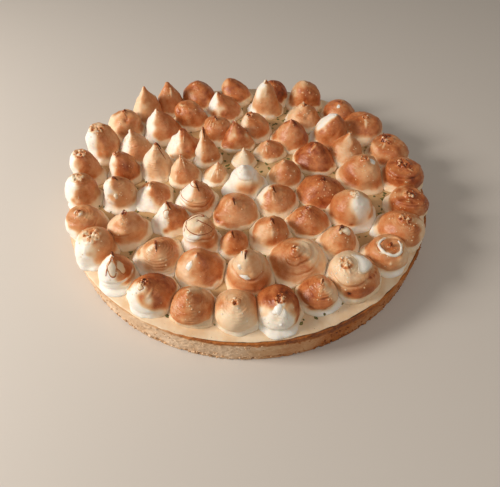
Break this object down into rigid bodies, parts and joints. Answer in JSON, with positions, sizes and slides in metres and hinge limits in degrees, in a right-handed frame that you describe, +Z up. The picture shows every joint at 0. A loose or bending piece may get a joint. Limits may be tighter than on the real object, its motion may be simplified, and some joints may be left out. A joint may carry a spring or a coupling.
{
  "type": "lemon meringue pie",
  "caption": "Round lemon meringue pie: a low upright shortcrust shell filled level with pale lemon cream, under rings of toasted piped meringue drops.",
  "frame": {"origin": "centre of the flat underside, on the surface that the pie rests on", "axes": "+Z up, out of the topping; +X to the right and -Y towards the viewer of the front"},
  "size_m": [0.243, 0.2398, 0.0488],
  "materials": {
    "pastry": "matt, sandy baked shortcrust, browner along the rim",
    "cream": "satin, smooth set lemon cream with green zest flecks",
    "meringue": "satin, toasted orange-brown over white, with burnt tips"
  },
  "bodies": {
    "root": {"cream": "cream", "drop_centre_01": "meringue", "drop_centre_02": "meringue", "drop_centre_03": "meringue", "drop_fourth_01": "meringue", "drop_fourth_02": "meringue", "drop_fourth_04": "meringue", "drop_fourth_05": "meringue", "drop_fourth_06": "meringue", "drop_fourth_07": "meringue", "drop_fourth_08": "meringue", "drop_outer_01": "meringue", "drop_outer_02": "meringue", "drop_outer_03": "meringue", "drop_outer_05": "meringue", "drop_outer_06": "meringue", "drop_outer_07": "meringue", "drop_outer_08": "meringue", "drop_outer_09": "meringue", "drop_outer_11": "meringue", "drop_outer_12": "meringue", "drop_outer_13": "meringue", "drop_outer_14": "meringue", "drop_outer_15": "meringue", "drop_outer_16": "meringue", "drop_outer_17": "meringue", "drop_outer_18": "meringue", "drop_outer_19": "meringue", "drop_outer_20": "meringue", "drop_outer_21": "meringue", "drop_outer_22": "meringue", "drop_outer_23": "meringue", "drop_outer_24": "meringue", "drop_outer_25": "meringue", "drop_second_01": "meringue", "drop_second_02": "meringue", "drop_second_06": "meringue", "drop_second_07": "meringue", "drop_second_08": "meringue", "drop_second_09": "meringue", "drop_second_10": "meringue", "drop_second_11": "meringue", "drop_second_12": "meringue", "drop_second_13": "meringue", "drop_second_14": "meringue", "drop_second_15": "meringue", "drop_second_16": "meringue", "drop_second_17": "meringue", "drop_second_18": "meringue", "drop_third_01": "meringue", "drop_third_02": "meringue", "drop_third_03": "meringue", "drop_third_04": "meringue", "drop_third_05": "meringue", "drop_third_06": "meringue", "drop_third_07": "meringue", "drop_third_08": "meringue", "drop_third_10": "meringue", "drop_third_12": "meringue", "shell": "pastry"}
  },
  "joints": []
}
